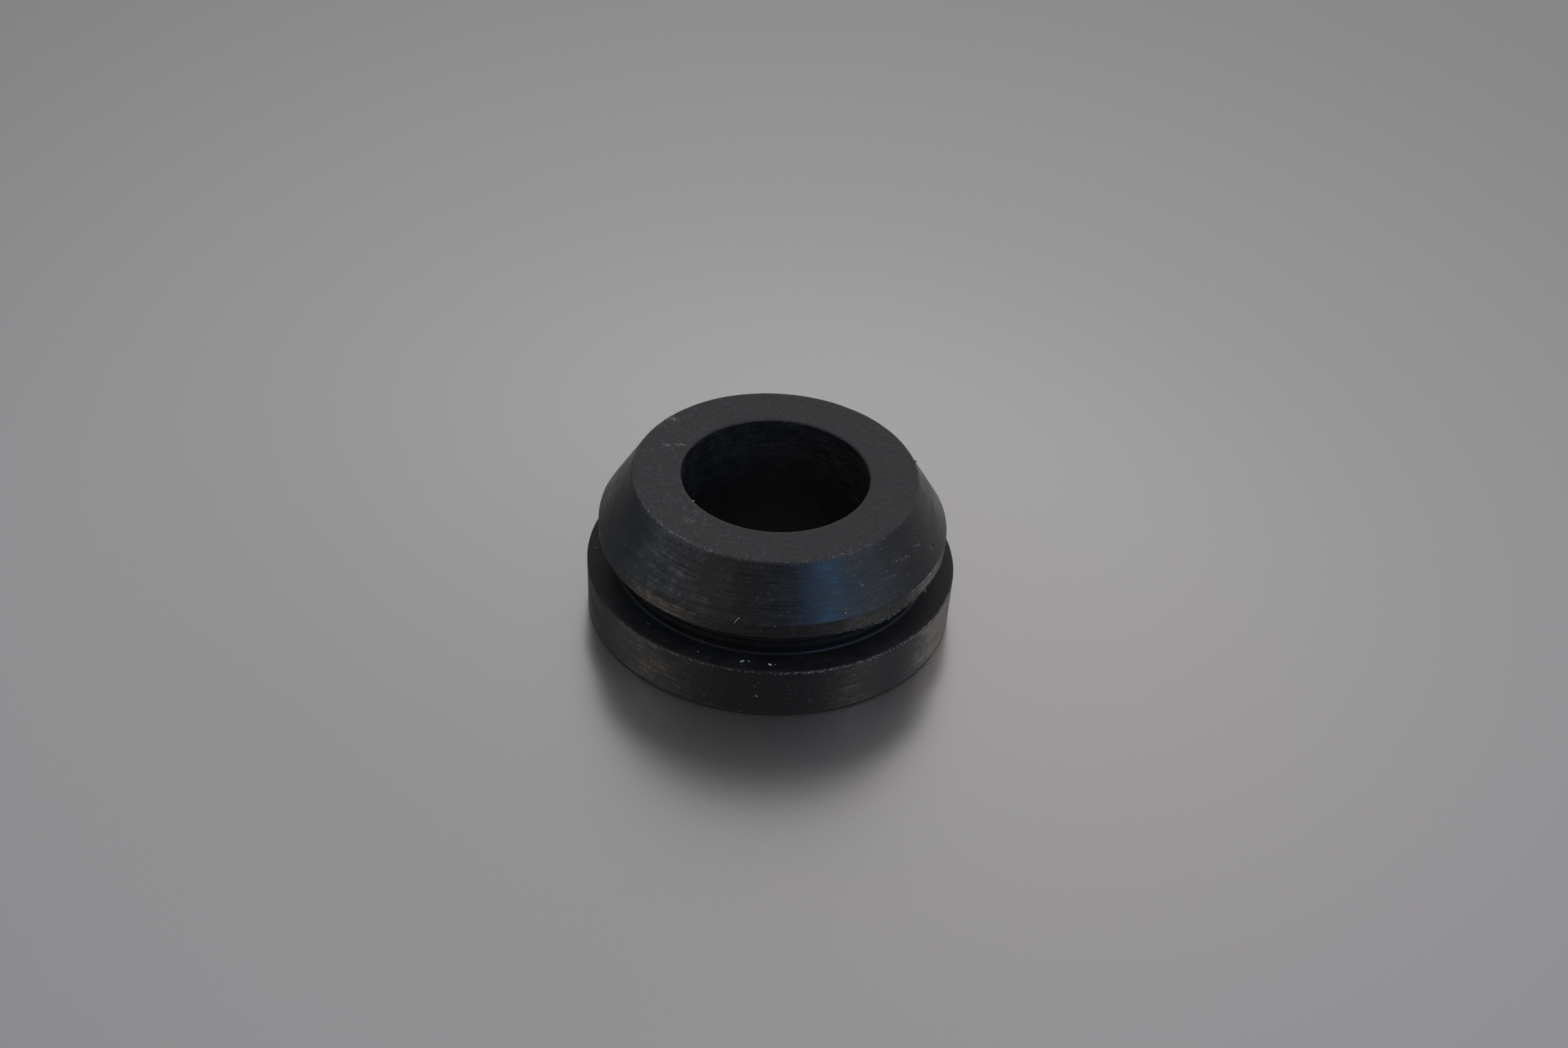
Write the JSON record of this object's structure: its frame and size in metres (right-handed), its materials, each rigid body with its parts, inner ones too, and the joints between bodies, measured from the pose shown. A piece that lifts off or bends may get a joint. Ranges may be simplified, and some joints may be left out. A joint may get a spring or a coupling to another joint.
{
  "type": "breather grommet",
  "caption": "Thick black rubber ring with a panel groove between a flange and a tapered nose; it seals a breather tube in a round hole in a cover.",
  "frame": {"origin": "on the bore's axis, in the plane of the flange's flat outer face", "axes": "+Z along the bore, from the flange to the flat end of the nose; X and Y are alike, because the part is round"},
  "size_m": [0.0376, 0.0376, 0.0159],
  "materials": {
    "rubber": "moulded black rubber, satin on the taper and the walls, matte and dusty on the flat end, pale scuffs along the edges"
  },
  "bodies": {
    "root": {"grommet": "rubber"}
  },
  "joints": []
}
